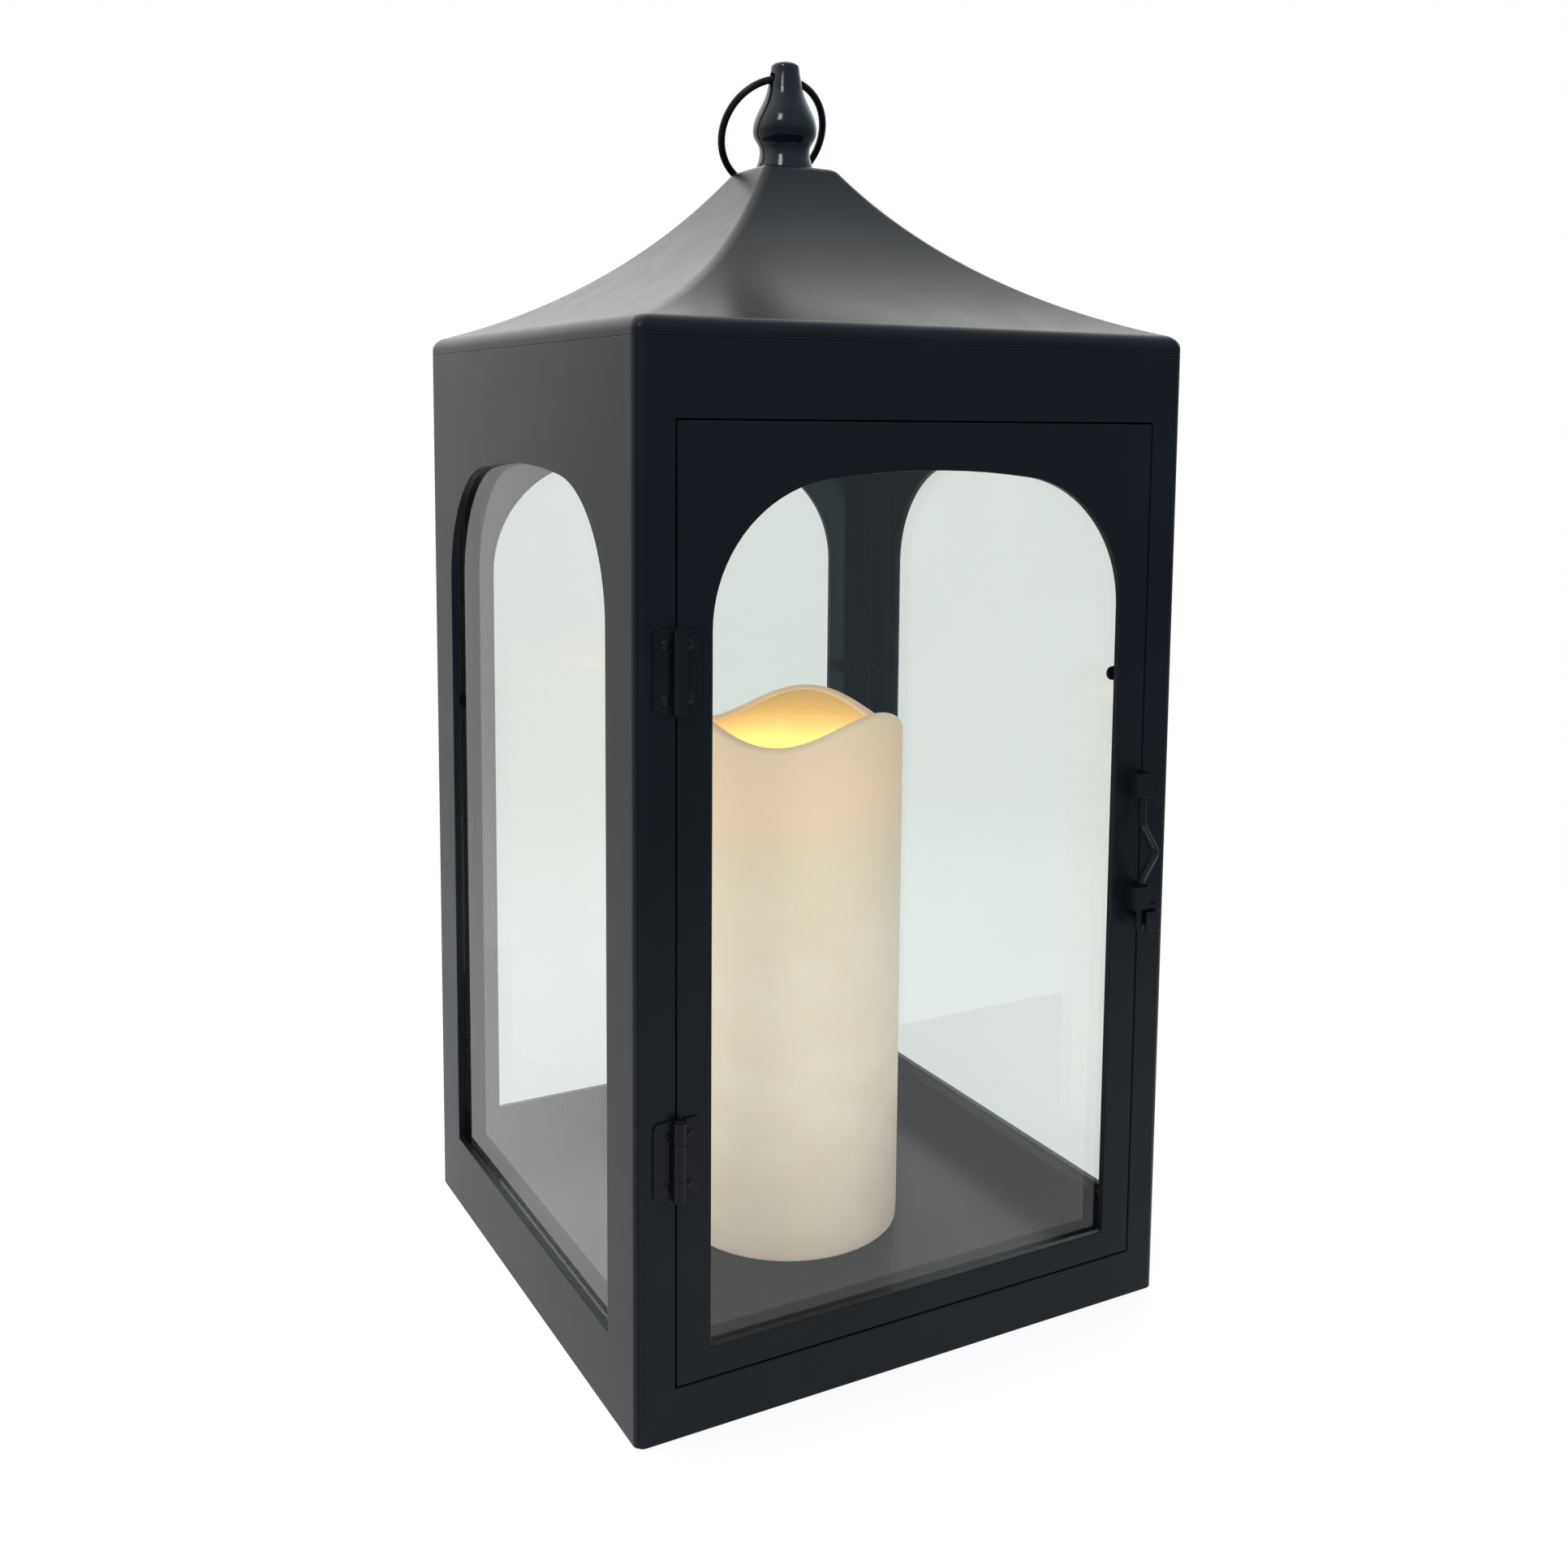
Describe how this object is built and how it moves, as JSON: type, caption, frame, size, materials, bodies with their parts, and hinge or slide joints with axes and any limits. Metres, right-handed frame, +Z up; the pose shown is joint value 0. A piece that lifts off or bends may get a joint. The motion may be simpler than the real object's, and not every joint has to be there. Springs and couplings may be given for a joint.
{
  "type": "solar lantern",
  "caption": "Square metal lantern with arched windows, hinged glass door, lift latch, swept roof, hanging ring and solar-charged pillar candle.",
  "frame": {"origin": "centre of the base on the surface the lantern stands on", "axes": "+Z up through the finial, -Y out of the door, +X towards the latch, -X towards the hinges"},
  "size_m": [0.209, 0.2228, 0.453],
  "materials": {
    "powder_coat": "satin dark grey-black powder coat",
    "hardware": "satin black painted steel",
    "gloss_enamel": "glossy blue-black enamel",
    "zinc": "dull zinc plate",
    "window_glass": "clear float glass with a faint green cast",
    "wax": "soft cream wax",
    "warm_liner": "warm translucent liner",
    "lamp_lens": "glowing amber lens",
    "cream_plastic": "moulded",
    "board_green": "solder mask",
    "black_rubber": "matt",
    "wire_sleeve": "flexible sleeve",
    "black_plastic": "fine texture",
    "solar_silicon": "blue-black silicon",
    "solar_window": "clear resin",
    "battery_wrap": "shrink sleeve"
  },
  "bodies": {
    "housing": {"front_frame": "powder_coat", "left_panel": "powder_coat", "right_panel": "powder_coat", "rear_panel": "powder_coat", "base_plate": "powder_coat", "base_screws": "zinc", "floor_pan": "powder_coat", "floor_grommet": "black_rubber", "roof_shell": "powder_coat", "roof_skirt": "powder_coat", "left_glass": "window_glass", "right_glass": "window_glass", "rear_glass": "window_glass", "wall_glass_clips": "hardware", "hinge_upper_frame_leaf": "hardware", "hinge_lower_frame_leaf": "hardware", "hinge_upper_pin": "hardware", "hinge_lower_pin": "hardware", "hinge_frame_rivets": "hardware", "door_bumpers": "black_rubber", "latch_keeper": "hardware", "keeper_rivet": "hardware", "finial": "gloss_enamel", "finial_stud": "zinc", "finial_washer": "zinc", "finial_nut": "zinc", "candle_wax": "wax", "candle_insert": "warm_liner", "candle_base": "cream_plastic", "candle_screws": "zinc", "led_board": "board_green", "led_lamp": "lamp_lens", "led_wires": "wire_sleeve", "terminal_block": "cream_plastic", "lead": "wire_sleeve", "lead_clips": "black_plastic", "solar_bezel": "black_plastic", "solar_cell": "solar_silicon", "solar_cover": "solar_window", "solar_gasket": "black_rubber", "module_housing": "black_plastic", "module_screws": "zinc", "battery": "battery_wrap", "battery_contacts": "zinc", "circuit_board": "board_green", "board_parts": "black_plastic", "switch_body": "black_plastic"},
    "door": {"door_panel": "powder_coat", "door_glass": "window_glass", "door_glass_clips": "hardware", "hinge_upper_door_leaf": "hardware", "hinge_lower_door_leaf": "hardware", "hinge_door_rivets": "hardware", "latch_upper_guide": "hardware", "latch_lower_guide": "hardware"},
    "bolt": {"latch_bolt": "hardware"},
    "ring": {"hanging_ring": "hardware"},
    "slider": {"switch_slider": "cream_plastic"}
  },
  "joints": [
    {"name": "door_swing", "type": "hinge", "parent": "housing", "child": "door", "pos_m": [-0.0911, -0.10695, 0.1694], "axis": [0, 0, -1], "range_deg": [0, 170]},
    {"name": "bolt_slide", "type": "slide", "parent": "door", "child": "bolt", "axis": [0, 0, 1], "range_m": [0, 0.009]},
    {"name": "ring_swing", "type": "hinge", "parent": "housing", "child": "ring", "pos_m": [0, 0, 0.4465], "axis": [1, 0, 0], "range_deg": [0, 303]},
    {"name": "switch_slide", "type": "slide", "parent": "housing", "child": "slider", "axis": [1, 0, 0], "range_m": [0, 0.003]}
  ]
}
